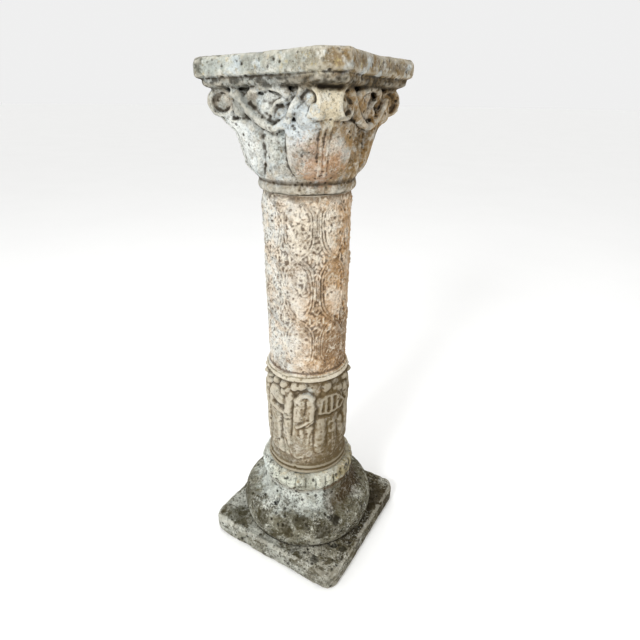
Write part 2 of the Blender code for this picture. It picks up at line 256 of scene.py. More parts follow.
class Finish:
    """The nodes of one stone's surface."""

    def __init__(self, name):
        self.material = bpy.data.materials.new(name)
        self.material.use_nodes = True
        self.tree = self.material.node_tree
        self.shader = self.tree.nodes["Principled BSDF"]
        self.place = self.node("ShaderNodeTexCoord").outputs["Object"]
        parts = self.node("ShaderNodeSeparateXYZ", {}, {0: self.place}).outputs
        self.x, self.y, self.z = (Tone(self, part) for part in parts)
        facing = self.node("ShaderNodeNewGeometry").outputs["Normal"]
        self.up = Tone(self, self.node("ShaderNodeSeparateXYZ", {}, {0: facing}).outputs[2])
        cut = self.node("ShaderNodeAttribute", {"attribute_name": "hollow"})
        self.hollow = Tone(self, cut.outputs["Fac"])

    def node(self, kind, settings=None, inputs=None):
        made = self.tree.nodes.new(kind)
        for key, value in (settings or {}).items():
            setattr(made, key, value)
        for key, value in (inputs or {}).items():
            value = value.socket if isinstance(value, Tone) else value
            if isinstance(value, bpy.types.NodeSocket):
                self.tree.links.new(value, made.inputs[key])
            else:
                made.inputs[key].default_value = value
        return made

    def shifted(self, shift):
        offset = (shift, 0.7 * shift, -1.3 * shift)
        return self.node("ShaderNodeVectorMath", {"operation": "ADD"}, {0: self.place, 1: offset}).outputs[0]

    def cloud(self, size, shift, detail=3.0, roughness=0.6):
        """Value about 0.5 that changes softly over one size in metres."""
        inputs = {"Vector": self.shifted(shift), "Scale": 1.0 / size, "Detail": detail}
        inputs["Roughness"] = roughness
        return Tone(self, self.node("ShaderNodeTexNoise", {}, inputs).outputs[0])

    def dots(self, size, shift):
        """Distance from the nearest of many scattered points, as a share of their spacing."""
        inputs = {"Vector": self.shifted(shift), "Scale": 1.0 / size}
        return Tone(self, self.node("ShaderNodeTexVoronoi", {}, inputs).outputs["Distance"])

    def step(self, value, low, high):
        """0 below the low value and 1 above the high one."""
        settings = {"interpolation_type": "SMOOTHSTEP"}
        made = self.node("ShaderNodeMapRange", settings, {0: value, 1: low, 2: high})
        return Tone(self, made.outputs[0])

    def patch(self, size, shift, low, high, detail=3.0, roughness=0.6):
        """1 in soft blotches of one size and 0 between them."""
        return self.step(self.cloud(size, shift, detail, roughness), low, high)

    def blend(self, share, under, over):
        """Mix two colours; each is a socket or a paint as red, green and blue."""
        ends = [paint(*end) if isinstance(end, tuple) else end for end in (under, over)]
        made = self.node("ShaderNodeMix", {"data_type": "RGBA"}, {0: share, 6: ends[0], 7: ends[1]})
        return made.outputs[2]

    def pits(self, size, shift, reach):
        """1 inside ragged round pits that lie about one size apart."""
        ragged = self.dots(size, shift) + (self.cloud(size * 0.3, shift + 1.0) - 0.5) * 0.22
        return self.step(ragged, reach, 0.6 * reach)

    def near(self, place, reach):
        """1 round a place on the stone, fading to 0 at a distance with a ragged edge."""
        gap = self.node("ShaderNodeVectorMath", {"operation": "DISTANCE"}, {0: self.place, 1: place})
        ragged = Tone(self, gap.outputs["Value"]) + (self.cloud(0.011, 4.9, 4.0, 0.7) - 0.5) * (2.2 * reach)
        return self.step(ragged, reach, 0.6 * reach)

    def coat(self, colour, *layers):
        """Lay tints one over another, each with the share of the surface that it covers."""
        for share, tint in layers:
            colour = self.blend(share, colour, tint)
        return colour

    def bleached_and_shaded_sides(self, cool, warm, reach):
        """Bleached stone on one side of the pedestal and tan stone on the other, darkened there with painted
        shade for the side turned from the light.
        """
        side = self.x * (0.90 / reach) + self.y * (0.35 / reach) + (self.cloud(0.06, 3.1) - 0.5) * 1.6
        return self.blend(self.step(side, -0.75, 0.95), cool, warm)

    def fine(self, colour, dark, light, amount):
        """Sandy grain and soft blotches, thick in some places and thin in others."""
        sand = self.cloud(0.0040, 1.7, 4.0, 0.8)
        thick = (0.30 + 0.70 * self.step(self.cloud(0.040, 6.9), 0.40, 0.60)) * amount
        patch = self.cloud(0.016, 2.9, 4.0, 0.65)
        broad = self.cloud(0.045, 8.3, 3.0, 0.6)
        return self.coat(
            colour,
            (self.step(broad, 0.50, 0.36) * 0.35, dark),
            (self.step(broad, 0.52, 0.68) * 0.45, light),
            (self.step(patch, 0.49, 0.38) * thick * 0.70, dark),
            (self.step(patch, 0.53, 0.66) * 0.45, light),
            (self.step(sand, 0.50, 0.38) * thick, dark),
            (self.step(sand, 0.52, 0.64) * thick * 0.8, light),
        )

    def close(self, colour, depth):
        """Give the surface its colour, dull gloss and small relief."""
        relief = self.cloud(0.0028, 5.2, 4.0, 0.7) + 0.8 * self.cloud(0.008, 6.3, 3.0, 0.6)
        relief = relief - 0.5 * self.step(self.dots(0.0055, 2.2), 0.30, 0.05)
        bump = self.node("ShaderNodeBump", {}, {"Distance": depth, "Height": relief})
        self.tree.links.new(bump.outputs[0], self.shader.inputs["Normal"])
        self.tree.links.new(colour, self.shader.inputs["Base Color"])
        dull = 0.80 + 0.18 * self.cloud(0.01, 7.7)
        self.tree.links.new(dull.socket, self.shader.inputs["Roughness"])
        self.shader.inputs["Specular IOR Level"].default_value = 0.25
        return self.material


def base_rows():
    """Rings of the base from the ground up."""
    turn = turns(BASE_COLUMNS)
    along = np.maximum(np.abs(np.cos(turn)), np.abs(np.sin(turn)))
    across = np.minimum(np.abs(np.cos(turn)), np.abs(np.sin(turn)))

    def square(inset):
        half, corner = PLINTH_HALF - inset, PLINTH_CORNER - inset
        flat = half / along
        middle = (half - corner) * (along + across)
        root = np.maximum(middle * middle - 2.0 * (half - corner) ** 2 + corner * corner, 0.0)
        return np.where(flat * across <= half - corner, flat, middle + np.sqrt(root))

    rows = [polar(square(0.004), turn, 0.0), polar(square(0.001), turn, 0.0015)]
    for height in np.linspace(0.004, PLINTH_TOP - 0.007, 18):
        rows.append(polar(square(0.0), turn, height))
    for lean in np.radians((25.0, 50.0, 75.0)):
        inset = PLINTH_ARRIS * (1.0 - np.cos(lean))
        rows.append(polar(square(inset), turn, PLINTH_TOP - PLINTH_ARRIS + PLINTH_ARRIS * np.sin(lean)))
    edge = square(PLINTH_ARRIS + 0.0005)
    for share in np.linspace(0.0, 1.0, 30):
        dip = 0.0012 * np.sin(np.pi * share)
        rows.append(polar(edge + (TORUS_FOOT_REACH - edge) * share, turn, PLINTH_TOP - dip))
    for height in (PLINTH_TOP - 0.0012, PLINTH_TOP + 0.0010):
        rows.append(polar(TORUS_FOOT_REACH - 0.0030, turn, height))
    tube = TORUS_TALL / 2
    for lean in np.radians(np.linspace(-64.0, 80.0, 44)):
        bulge = 0.010 * (1.0 - np.cos(lean)) if lean < 0 else 0.8 * tube * (1.0 - np.cos(lean))
        rows.append(polar(TORUS_REACH - bulge, turn, PLINTH_TOP + tube + tube * np.sin(lean)))
    for share in np.linspace(0.02, 1.0, 27):
        reach = SCOTIA_REACH + SCOTIA_FLARE * (1.0 - share) ** 2.8
        rows.append(polar(reach, turn, SCOTIA_FOOT + (SCOTIA_TOP - SCOTIA_FOOT) * share))
    lobe = 1.0 - np.abs(np.sin(RIBS * turn / 2.0 + 0.35 * np.sin(3.0 * turn))) ** 0.55
    for share in np.linspace(0.02, 0.99, 24):
        swell = np.sin(np.pi * (0.15 + 0.72 * share))
        reach = RIBBED_REACH + RIBBED_SWELL * swell - RIB_CUT * swell * lobe
        rows.append(polar(reach, turn, SCOTIA_TOP + (BASE_TOP - SCOTIA_TOP) * share))
    rows.append(polar(JOINT_REACH, turn, BASE_TOP))
    rows = np.stack(rows)
    crease = int(np.argmin(np.abs(rows[:, 0, 2] - (PLINTH_TOP + TORUS_TALL))))
    for _ in range(6):
        rows[crease - 4 : crease + 5] = (rows[crease - 5 : crease + 4] + rows[crease - 3 : crease + 6]) / 2.0
    return rows


def base_finish():
    """Grey plinth, lichened torus, limewashed hollow and cream ribs, with painted shade on the right side and
    in the hollows, and painted highlights on the crests.
    """
    f = Finish("base_stone_weathered")
    # Painted shade, with tan stain, on the right side of the base.
    colour = f.bleached_and_shaded_sides((190, 191, 181), (90, 80, 56), 0.15)
    torus = f.step(f.z, 0.044, 0.050)
    colour = f.coat(colour, (torus * 0.75, f.blend(f.cloud(0.03, 9.0), (140, 138, 120), (104, 100, 80))))
    # The hollow scotia and the ribs: limewash and cream on the lit side, painted shade in dark brown and
    # grey-tan on the right side.
    scotia_lime_and_shade = f.step(f.z + (f.cloud(0.022, 8.1) - 0.5) * 0.05, 0.108, 0.120)
    ribbed = f.step(f.z, 0.158, 0.167)
    shaded_right_side = f.step(f.x * 8.0 + f.y * 5.5 + (f.cloud(0.04, 2.0) - 0.5) * 1.2, 0.15, 0.70)
    colour = f.coat(
        colour,
        (scotia_lime_and_shade * 0.85, f.blend(shaded_right_side, (216, 221, 214), (70, 55, 30))),
        (ribbed * 0.9, f.blend(shaded_right_side, (230, 232, 216), (168, 156, 120))),
        (f.patch(0.018, 4.4, 0.55, 0.66) * ribbed * f.step(f.x, -0.03, 0.02) * 0.6, (206, 176, 110)),
        (f.step(f.x, -0.02, -0.06) * ribbed * 0.8, (234, 242, 238)),
        (f.near((0.112, -0.112, 0.045), 0.060) * 0.55, (206, 202, 186)),
        # Painted shade, with tan stain, on the right side of the plinth top.
        (f.near((0.140, -0.020, 0.045), 0.065) * 0.6, (66, 56, 36)),
    )
    colour = f.fine(colour, (60, 54, 40), (232, 232, 222), 0.90)
    moss = f.patch(0.021, 5.5, 0.535, 0.60, 4.0, 0.62)
    crust = f.patch(0.0075, 6.6, 0.58, 0.66, 3.0, 0.7)
    low = f.step(f.z, 0.135, 0.100)
    under = f.step(f.z, 0.012, 0.040)
    # Brown band under the ribbed torus: painted shade with brown stain.
    under_rib_shade_and_stain = f.step(f.z + (f.cloud(0.014, 2.7) - 0.5) * 0.010, 0.151, 0.159) * f.step(f.z, 0.171, 0.164)
    crease = f.step(f.z, 0.104, 0.112) * f.step(f.z, 0.132, 0.124)
    colour = f.coat(
        colour,
        (f.patch(0.05, 3.3, 0.50, 0.64) * 0.50, (118, 112, 90)),
        (f.pits(0.017, 4.4, 0.26) * 0.8, (46, 43, 36)),
        (f.pits(0.008, 7.4, 0.24) * 0.6, (58, 54, 44)),
        (moss * low * under * 0.75, (78, 70, 44)),
        (crust * (0.25 + 0.65 * low) * 0.85, (52, 50, 42)),
        (f.patch(0.011, 1.1, 0.64, 0.70) * 0.7, (214, 214, 200)),
        (f.near((0.105, -0.140, 0.045), 0.011) * 0.7, (50, 48, 38)),
        (f.near((0.125, -0.088, 0.045), 0.008) * 0.8, (46, 44, 34)),
        (f.near((0.146, -0.087, 0.045), 0.009) * 0.8, (52, 48, 34)),
        (f.near((-0.112, -0.132, 0.045), 0.030) * 0.7, (74, 70, 48)),
        (f.near((0.056, -0.119, 0.111), 0.019) * 0.75, (66, 60, 40)),
        (f.near((0.104, -0.106, 0.091), 0.023) * 0.75, (60, 54, 36)),
        (f.near((0.032, -0.143, 0.096), 0.018) * 0.75, (64, 58, 38)),
        (f.near((-0.029, -0.144, 0.094), 0.020) * 0.75, (68, 62, 42)),
        (f.near((0.118, -0.075, 0.106), 0.014) * 0.9, (44, 40, 28)),
        # Painted shade with brown stain under the ribs, stronger on the shaded right side.
        (under_rib_shade_and_stain * (0.35 + 0.5 * shaded_right_side), (96, 72, 42)),
        # Painted shade in the hollow scotia on the right side.
        (f.step(f.z, 0.150, 0.136) * f.step(f.z, 0.112, 0.124) * shaded_right_side * 0.45, (84, 64, 36)),
        (f.near((-0.100, -0.110, 0.095), 0.034) * 0.6, (70, 66, 46)),
        # Painted shadow inside the deep pit.
        (f.near((-0.0124, -0.1120, 0.1214), 0.0075) * 0.95, (24, 24, 21)),
        # Painted shade, with tan stain, on the right face of the plinth.
        (f.near((0.145, 0.085, 0.040), 0.055) * 0.75, (62, 52, 32)),
        # Painted shade in the hollows and painted highlights on the crests.
        (f.step(f.hollow, 0.12, 0.75) * (0.85 - 0.45 * crease), (44, 38, 28)),
        (f.step(f.hollow, -0.15, -0.8) * 0.35, (214, 210, 196)),
    )
    return f.close(colour, 0.0036)


base_mesh = shells("base_stone", [base_rows()])
weather(base_mesh, 11, 0.0034, 0.00085, 0.0026)
points = skin(base_mesh)[0]
bearing = np.arctan2(points[:, 1], points[:, 0])
near = np.hypot(PIT_REACH * (bearing - PIT_TURN), points[:, 2] - PIT_LEVEL)
sunk = PIT_DEEP * (1.0 - ease((near - PIT_FLAT) / PIT_SLOPE))
write_points(base_mesh, points - polar(1.0, bearing, 0.0) * sunk[:, None])
mark_hollows(base_mesh, 0.00040, 0.0016)
place_piece("base_stone", base_mesh, base_finish(), "base")

# THE SHAFT
# One casting: a pair of rings, a drum with robed figures in half relief, a smooth collar,
# and a round shaft covered with interlaced vine scrolls. It stands in mortar on the base.

SHAFT_COLUMNS = 322
SHAFT_LEVELS = 304
SHAFT_FOOT = 0.2028
SHAFT_HEAD = 0.7948
DRUM_REACH = 0.0835
SCROLL_REACH = 0.0786
SCROLL_LEVELS = (0.744, 0.624, 0.504)
ROSETTE_LEVELS = (0.684, 0.564)
DRUM_TOP = 0.4292
SCROLL_FOOT = 0.449


class Carving:
    """Relief over part of the unrolled shaft, in metres; its strokes are given in millimetres."""

    def __init__(self, across, height, relief):
        self.across = across
        self.height = height
        self.relief = relief

    def gap(self, start, end):
        """Distance of every point from a straight stroke, and the share along it."""
        start, end = np.array(start) / 1000.0, np.array(end) / 1000.0
        way = end - start
        span = max(way[0] ** 2 + way[1] ** 2, 1e-12)
        x, z = self.across - start[0], self.height - start[1]
        along = np.clip((x * way[0] + z * way[1]) / span, 0.0, 1.0)
        return np.hypot(x - along * way[0], z - along * way[1]), along

    def pad(self, start, end, width, proud):
        """Raise a round-backed stroke that runs softly into what is there."""
        gap, along = self.gap(start, end)
        reach = (width[0] + (width[1] - width[0]) * along) / 1000.0
        raised = proud / 1000.0 * np.clip(1.0 - (gap / reach) ** 2, 0.0, 1.0) ** 0.55
        soft = 0.7 * np.minimum(np.maximum(self.relief, 0.0), raised) + 1e-9
        share = np.clip(0.5 + 0.5 * (self.relief - raised) / soft, 0.0, 1.0)
        self.relief = raised + (self.relief - raised) * share + soft * share * (1.0 - share)

    def carve(self, start, end, width, depth):
        """Sink a groove."""
        self.relief = self.relief - depth / 1000.0 * hill(self.gap(start, end)[0], width / 1000.0)

    def strokes(self, raised, sunk):
        """Raise and then sink strokes, each a start, an end, a width and a height."""
        for stroke in raised:
            self.pad(*stroke)
        for stroke in sunk:
            self.carve(*stroke)


def worn_heads(stone):
    """Row of rubbed heads under the collar: skull, cap of hair and two shallow eye hollows."""
    for x, z, size in (
        ((-118, 423, 7.4), (-97, 398, 6.0), (-92, 412, 6.4), (-88, 428, 6.4))
        + ((-71, 424, 7.0), (-50, 422, 8.4), (-41, 413, 5.6), (-26, 421, 8.6))
        + ((-12, 423, 8.2), (40, 417, 9.8), (90, 425, 8.6), (121, 424, 7.6))
    ):
        stone.pad((x - 1.2, z - 2.0), (x + 1.0, z + 0.6), (size, size * 1.1), 9.4)
        stone.pad((x + 0.5, z + 1.0), (x + 0.5, z - 2.6), (1.6, 2.2), 10.4)
        for side in (-1.0, 1.0):
            stone.carve((x + side * 2.9, z + 0.8), (x + side * 3.6, z + 0.4), 2.2, 1.3)
        stone.carve((x - size, z + 3.6), (x + size, z + 4.6), 1.8, 1.0)
        stone.carve((x - 2.0, z - 5.0), (x + 2.2, z - 4.8), 1.4, 0.8)


def arm_ringed_figure(stone):
    """Figure at the left: round chest, an arm laid across, a long robe with a deep crease."""
    raised = (
        ((-76, 396), (-62, 384), (17, 16), 8.0),
        ((-88, 392), (-88, 364), (8, 7), 7.0),
        ((-87, 361), (-52, 353), (6.2, 5.4), 8.8),
        ((-77, 345), (-80, 262), (17, 18), 5.6),
        ((-62, 270), (-60, 254), (11, 10), 6.8),
        ((-52, 402), (-38, 404), (9, 9), 6.2),
        ((-38, 392), (-43, 360), (11.5, 9.5), 7.8),
        ((-44, 348), (-41, 256), (12, 12), 4.6),
        ((-45, 330), (-43, 306), (3.6, 2.8), 6.6),
    )
    sunk = (
        ((-59, 346), (-55, 328), 3.2, 2.6),
        ((-55, 328), (-58, 300), 3.2, 2.8),
        ((-58, 300), (-46, 281), 3.0, 2.4),
        ((-46, 281), (-37, 246), 3.0, 2.2),
        ((-53, 337), (-33, 341), 2.8, 2.4),
        ((-80, 340), (-84, 290), 2.6, 1.0),
    )
    stone.strokes(raised, sunk)


def draped_figure(stone):
    """Figure near the middle: a shawl over both shoulders, one forearm across, a tassel below it."""
    raised = (
        ((-4, 388), (-5, 346), (19, 18), 6.6),
        ((-25, 388), (-12, 400), (5.0, 5.4), 7.8),
        ((-12, 400), (0, 403), (5.4, 5.4), 8.0),
        ((0, 403), (11, 393), (5.4, 5.6), 8.2),
        ((-15, 384), (-21, 346), (13.5, 11.0), 8.8),
        ((5, 388), (8, 370), (11.0, 10.5), 8.6),
        ((8, 370), (5, 350), (10.5, 9.0), 9.0),
        ((9, 347), (-21, 324), (4.8, 4.0), 9.8),
        ((9, 337), (-4, 328), (3.4, 2.8), 8.2),
        ((-13, 317), (-11, 301), (5.2, 3.8), 8.2),
        ((-19, 328), (-20, 254), (17, 18), 5.6),
        ((0, 318), (-2, 256), (12, 13), 4.8),
    )
    sunk = (
        ((-4, 388), (-6, 356), 3.2, 2.8),
        ((6, 382), (4, 364), 2.4, 0.8),
        ((14, 392), (16, 334), 3.6, 3.4),
        ((16, 334), (5, 300), 3.0, 2.4),
        ((5, 300), (3, 276), 2.6, 1.8),
        ((-30, 388), (-33, 300), 3.4, 2.6),
        ((-20, 372), (-24, 350), 2.4, 0.9),
    )
    stone.strokes(raised, sunk)


def bearer_figure(stone):
    """Figure at the right: carries a slatted basket before the chest, a bent elbow beside it."""
    raised = (
        ((40, 400), (74, 400), (12, 12), 5.0),
        ((34, 380), (70, 378), (18, 17), 6.4),
        ((48, 334), (52, 262), (26, 30), 4.2),
        ((26, 358), (44, 354), (4.2, 4.4), 9.2),
        ((44, 354), (57, 356), (4.4, 4.2), 9.2),
        ((57, 356), (74, 358), (4.2, 4.0), 9.2),
        ((74, 358), (84, 371), (4.0, 3.6), 8.8),
        ((26, 358), (28, 389), (3.4, 3.4), 8.6),
        ((28, 389), (38, 397), (3.4, 3.8), 8.4),
        ((38, 397), (62, 394), (3.8, 3.4), 8.2),
        ((62, 394), (84, 371), (3.2, 3.4), 8.0),
        ((38, 393), (37, 360), (5.6, 5.6), 8.4),
        ((50, 392), (50, 360), (5.8, 5.8), 8.4),
        ((67, 386), (64, 362), (7.0, 6.0), 8.2),
        ((29, 334), (26, 266), (12, 15), 6.2),
        ((52, 326), (54, 264), (12, 15), 6.2),
        ((76, 322), (84, 268), (11, 13), 5.6),
        ((94, 396), (101, 372), (11, 10), 6.8),
        ((101, 372), (100, 338), (9, 10), 7.4),
        ((98, 334), (96, 310), (12, 10), 8.2),
    )
    sunk = (
        ((40, 330), (40, 270), 3.4, 1.8),
        ((64, 326), (68, 270), 3.0, 1.4),
        ((26, 346), (74, 346), 3.2, 1.6),
    )
    stone.strokes(raised, sunk)


def plain_figures(stone):
    """Robed figures that stand at both ends of the company, where the photo doesn't reach."""
    raised = (
        ((-118, 400), (-120, 352), (12, 12), 6.2),
        ((-124, 398), (-112, 366), (5, 5), 8.2),
        ((-118, 345), (-120, 258), (14, 16), 5.4),
        ((121, 402), (123, 352), (12, 12), 6.2),
        ((114, 396), (127, 372), (5, 5), 8.2),
        ((122, 345), (124, 258), (13, 15), 5.4),
    )
    sunk = (
        ((-116, 340), (-114, 270), 3.0, 1.4),
        ((124, 340), (128, 270), 3.0, 1.4),
    )
    stone.strokes(raised, sunk)


def leaf_spray(stone, middle, size, lean):
    """Five curled petals that fan out of one point inside a scroll."""
    x, z = middle
    for petal in range(5):
        angle = math.radians(lean - 76.0 + 38.0 * petal)
        reach = size * (0.92 if petal % 2 else 1.1)
        tip = (x + reach * math.sin(angle), z + reach * math.cos(angle))
        hip = (x + 0.55 * reach * math.sin(angle + 0.35), z + 0.55 * reach * math.cos(angle + 0.35))
        stone.pad(middle, hip, (1.2, 2.0), 1.25)
        stone.pad(hip, tip, (2.3, 1.3), 1.5)
    stone.pad((x, z), (x, z - 0.2), (2.2, 2.2), 1.7)
    stem = (x - size * math.sin(math.radians(lean)), z - size * math.cos(math.radians(lean)))
    stone.pad(middle, stem, (1.1, 1.1), 1.2)


def scroll_relief(turn, height):
    """Chains of interlaced oval vines, with leaf sprays inside and rosettes between them."""
    total = np.zeros_like(turn)
    for column in range(8):
        middle = math.radians(-69.5 + 90.0 * (column // 2) + (49.0 if column % 2 else 0.0))
        across = SCROLL_REACH * ((turn - middle + np.pi) % (2.0 * np.pi) - np.pi)
        close = np.abs(across) < 0.036
        x, z = across[close], height[close]
        spot = polar(SCROLL_REACH, turn[close], z)
        x = x + 0.0022 * layered(spot, 0.045, 71)
        z = z + 0.0022 * layered(spot, 0.045, 81)
        stone = Carving(x, z, total[close])
        phase = (z - SCROLL_LEVELS[0]) / 0.120
        phase = np.where(z > SCROLL_LEVELS[0], (z - SCROLL_LEVELS[0]) / 0.082, phase)
        phase = np.where(z < SCROLL_LEVELS[2], -2.0 + (z - SCROLL_LEVELS[2]) / 0.074, phase)
        swing = np.cos(np.pi * phase)
        sway = 0.0260 * np.tanh(1.9 * swing) / math.tanh(1.9)
        lay = 1.0 / np.sqrt(1.0 + 1.1 * (1.0 - swing**2))
        for side in (-1.0, 1.0):
            gap = (x - side * sway) * lay
            over = 0.55 + 0.45 * side * np.sign(np.sin(np.pi * phase)) * (1.0 - np.abs(swing))
            band = np.maximum(hill(gap - 0.0023, 0.0016), hill(gap + 0.0023, 0.0016))
            band *= 0.0020 * np.clip(over + 0.45 * np.abs(swing), 0.3, 1.0)
            beds = 0.0006 * hill(gap, 0.0015) + 0.0009 * hill(np.abs(gap) - 0.0052, 0.0020)
            stone.relief = np.maximum(stone.relief, band) - beds
        mirror = -1.0 if column % 2 else 1.0
        for row, level in enumerate(SCROLL_LEVELS):
            lean = mirror * (35.0 if row % 2 else -150.0)
            leaf_spray(stone, (2.5 * mirror, level * 1000.0 - 2.0), 12.5, lean)
        for level in (1000.0 * rosette for rosette in ROSETTE_LEVELS):
            stone.pad((0.0, level), (0.0, level - 1.0), (4.4, 4.4), 1.0)
        total[close] = stone.relief
    for column in range(8):
        middle = math.radians(-45.0 + 45.0 * column)
        across = SCROLL_REACH * ((turn - middle + np.pi) % (2.0 * np.pi) - np.pi)
        close = np.abs(across) < 0.022
        stone = Carving(across[close], height[close], total[close])
        for level in (1000.0 * rosette for rosette in ROSETTE_LEVELS):
            for petal in range(6):
                angle = math.radians(60.0 * petal)
                tip = (6.4 * math.sin(angle), level + 6.4 * math.cos(angle))
                stone.pad((0.0, level), tip, (1.5, 2.2), 1.5)
            stone.pad((0.0, level), (0.0, level + 0.1), (1.9, 1.9), 2.0)
            for side in (-1.0, 1.0):
                stone.pad((0.0, level + 13), (side * 7.0, level + 20), (1.6, 1.2), 1.4)
                stone.pad((0.0, level - 13), (side * 7.0, level - 19), (1.6, 1.2), 1.4)
                stone.pad((side * 7.0, level + 20), (side * 4.0, level + 27), (1.2, 1.2), 1.3)
                stone.pad((side * 13.0, level + 5), (side * 13.0, level - 5), (2.0, 2.0), 1.3)
        for level in (1000.0 * oval for oval in SCROLL_LEVELS):
            for side in (-1.0, 1.0):
                stone.pad((side * 2.2, level + 20), (side * 2.2, level - 18), (1.1, 1.1), 1.2)
            stone.pad((0.0, level + 26), (0.0, level + 22), (2.4, 1.4), 1.5)
        total[close] = stone.relief
    return total


def drum_relief(turn, height):
    """The company of figures, once on each half of the drum, over a plain ground."""
    total = np.zeros_like(turn)
    for degrees in (-57.5, 122.5):
        across = DRUM_REACH * ((turn - math.radians(degrees) + np.pi) % (2.0 * np.pi) - np.pi)
        close = np.abs(across) <= DRUM_REACH * np.pi / 2.0
        spot = polar(DRUM_REACH, turn[close], height[close])
        bent = across[close] + 0.0019 * layered(spot, 0.022, 51)
        lifted = height[close] + 0.0022 * layered(spot, 0.024, 61)
        stone = Carving(bent, lifted, total[close])
        for figure in (arm_ringed_figure, draped_figure, bearer_figure, plain_figures, worn_heads):
            figure(stone)
        total[close] = stone.relief
    return total


def shaft_rows():
    """Rings of the shaft from its joint with the base up to its joint with the capital."""
    turn = turns(SHAFT_COLUMNS)[None, :]
    height = np.linspace(SHAFT_FOOT, SHAFT_HEAD, SHAFT_LEVELS)[:, None]
    turn, height = (values.ravel() for values in np.broadcast_arrays(turn, height))
    sway = polar(1.0, turn, height)
    bent = height + 0.0016 * layered(sway, 0.5, 31) * ease((height - 0.40) / 0.03)
    rings = (
        (0.2028, 0.0861), (0.2045, 0.0880), (0.2075, 0.0888), (0.2105, 0.0880),
        (0.2130, 0.0850), (0.2150, 0.0858), (0.2175, 0.0872), (0.2205, 0.0870),
        (0.2235, 0.0850), (0.2270, 0.0836), (0.232, 0.0830), (0.2500, 0.0828),
    )
    collar = (
        (0.4299, 0.0815), (0.4325, 0.0838), (0.4335, 0.0852), (0.4358, 0.0862),
        (0.4398, 0.0860), (0.4417, 0.0850), (0.4430, 0.0826), (0.4444, 0.0838),
        (0.4460, 0.0830), (0.4486, 0.0798), (0.4519, 0.0784), (0.7948, 0.0792),
    )
    reach = np.interp(bent, *np.array(rings + collar).T)
    drum = ease((height - 0.229) / 0.012) * (1.0 - ease((bent - DRUM_TOP) / 0.003))
    worn = 0.92 - 0.36 * ease((0.300 - height) / 0.050) + 0.22 * layered(sway, 0.22, 91)
    figures = drum_relief(turn, height).reshape(SHAFT_LEVELS, SHAFT_COLUMNS)
    figures = (np.roll(figures, 1, axis=1) + 2.0 * figures + np.roll(figures, -1, axis=1)) / 4.0
    figures[1:-1] = (figures[:-2] + 2.0 * figures[1:-1] + figures[2:]) / 4.0
    reach += 1.08 * drum * worn * figures.ravel()
    scroll = ease((height - SCROLL_FOOT) / 0.006) * (1.0 - ease((height - 0.789) / 0.004))
    fade = np.clip(0.95 + 0.60 * layered(sway, 0.28, 41), 0.55, 1.25)
    fade *= 1.0 - 0.45 * ease((0.60 - height) / 0.12)
    reach += 1.75 * scroll * fade * scroll_relief(turn, height)
    spot = polar(SCROLL_REACH, turn, height)
    curls = np.clip(1.0 - 4.5 * np.abs(layered(spot, 0.0165, 95, 2)), 0.0, 1.0)
    reach += 0.0012 * scroll * fade * ease(curls) + 0.0010 * drum * layered(spot, 0.014, 97, 2)
    return polar(reach, turn, height).reshape(SHAFT_LEVELS, SHAFT_COLUMNS, 3)


def shaft_finish():
    """Bleached on one side and tan with painted shade on the other, with painted shade in the cuts of the
    carving and painted highlights on the crests.
    """
    f = Finish("shaft_stone_weathered")
    # Painted shade, with tan stain, on the right side of the shaft.
    colour = f.bleached_and_shaded_sides((222, 222, 216), (198, 160, 116), 0.078)
    drum = f.step(f.z, 0.436, 0.430)
    colour = f.coat(
        colour,
        (f.patch(0.03, 2.9, 0.46, 0.60) * 0.55, (226, 200, 170)),
        (drum * 0.76, f.blend(f.patch(0.02, 4.0, 0.4, 0.6), (166, 158, 136), (132, 116, 86))),
        (f.step(f.z, 0.228, 0.222) * 0.8, (122, 108, 78)),
        (f.step(f.z, 0.448, 0.4445) * f.step(f.z, 0.431, 0.434) * 0.8, (156, 147, 122)),
        # Painted shade, with olive stain, on the right side of the drum.
        (drum * f.step(f.x + 0.5 * f.y, 0.015, 0.060) * 0.75, (92, 76, 46)),
        (f.near((0.050, -0.074, 0.408), 0.016) * 0.8, (206, 214, 212)),
        (f.near((0.067, -0.058, 0.410), 0.011) * 0.7, (196, 160, 120)),
        (f.near((0.052, -0.062, 0.735), 0.060) * 0.70, (238, 229, 212)),
        (f.near((0.080, -0.004, 0.510), 0.070) * 0.75, (134, 104, 70)),
    )
    colour = f.fine(colour, (124, 106, 84), (240, 236, 226), 0.60)
    left = f.step(f.x * -9.0 + f.y * -4.0 + (f.cloud(0.05, 1.3) - 0.5), -0.1, 0.7)
    colour = f.coat(
        colour,
        (f.patch(0.006, 8.8, 0.59, 0.66, 3.0, 0.7) * (0.38 + 0.5 * left), (78, 73, 64)),
        (f.patch(0.012, 7.1, 0.62, 0.70) * 0.5, (140, 108, 78)),
        (f.pits(0.015, 3.9, 0.18) * (0.25 + 0.5 * left), (60, 53, 43)),
        (f.pits(0.007, 6.9, 0.24) * (0.35 + 0.35 * left), (96, 86, 74)),
        (f.step(f.z + (f.cloud(0.016, 3.3) - 0.5) * 0.016, 0.781, 0.792) * 0.65, (92, 78, 62)),
        (f.step(f.z, 0.258, 0.232) * f.patch(0.016, 5.6, 0.40, 0.56) * 0.45, (84, 72, 54)),
        # Painted shade in the cuts of the carving, deepest on the drum, and painted highlights on the crests.
        (f.step(f.hollow, 0.08, 0.80) * (0.72 - 0.12 * drum), (84, 67, 50)),
        (f.step(f.hollow, 0.50, 1.0) * drum * 0.45, (62, 52, 36)),
        (f.step(f.hollow, -0.10, -0.7) * 0.6, (238, 229, 210)),
        (drum * 0.18, (112, 102, 78)),
        # More painted shade, with olive stain, on the right side of the drum.
        (drum * f.step(f.x + 0.5 * f.y, 0.000, 0.055) * 0.38, (98, 82, 48)),
        (f.step(f.z, 0.229, 0.224) * 0.30, (104, 92, 64)),
    )
    return f.close(colour, 0.0030)


